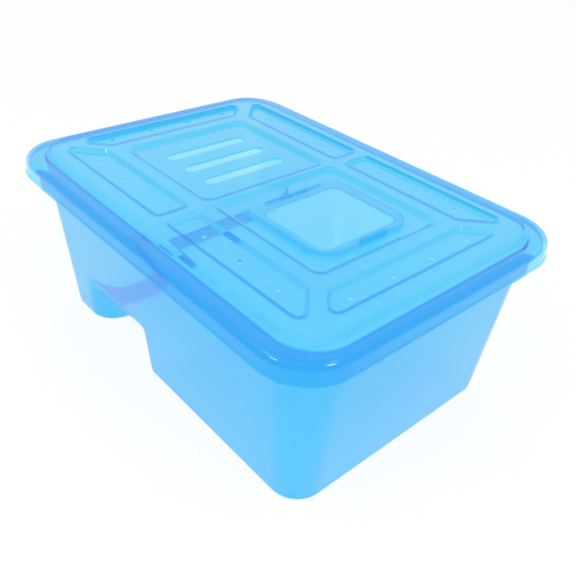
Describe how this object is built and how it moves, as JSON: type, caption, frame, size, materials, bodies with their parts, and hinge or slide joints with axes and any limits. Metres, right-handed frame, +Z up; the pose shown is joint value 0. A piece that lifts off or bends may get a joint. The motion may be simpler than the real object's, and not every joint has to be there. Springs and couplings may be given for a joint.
{
  "type": "turtle habitat",
  "caption": "Tapered clear tub with a stepped floor and a basking platform, a press-on vented lid and a hinged feeding hatch.",
  "frame": {"origin": "middle of the whole object's footprint, on the surface it stands on", "axes": "+Z up, +X along the long axis towards the deep pool, +Y across the tub"},
  "size_m": [0.3712, 0.2706, 0.1607],
  "materials": {
    "tub_plastic": "smooth glossy clear blue",
    "lid_plastic": "smooth glossy clear blue",
    "hatch_plastic": "smooth glossy clear blue"
  },
  "bodies": {
    "tub": {"tub": "tub_plastic"},
    "lid": {"lid": "lid_plastic"},
    "hatch": {"feeding_hatch": "hatch_plastic"}
  },
  "joints": [
    {"name": "lid_lift", "type": "slide", "parent": "tub", "child": "lid", "axis": [0, 0, 1], "range_m": [0, 0.16]},
    {"name": "hatch_hinge", "type": "hinge", "parent": "lid", "child": "hatch", "pos_m": [0.0261, 0, 0.1534], "axis": [0, -1, 0], "range_deg": [0, 165]}
  ]
}
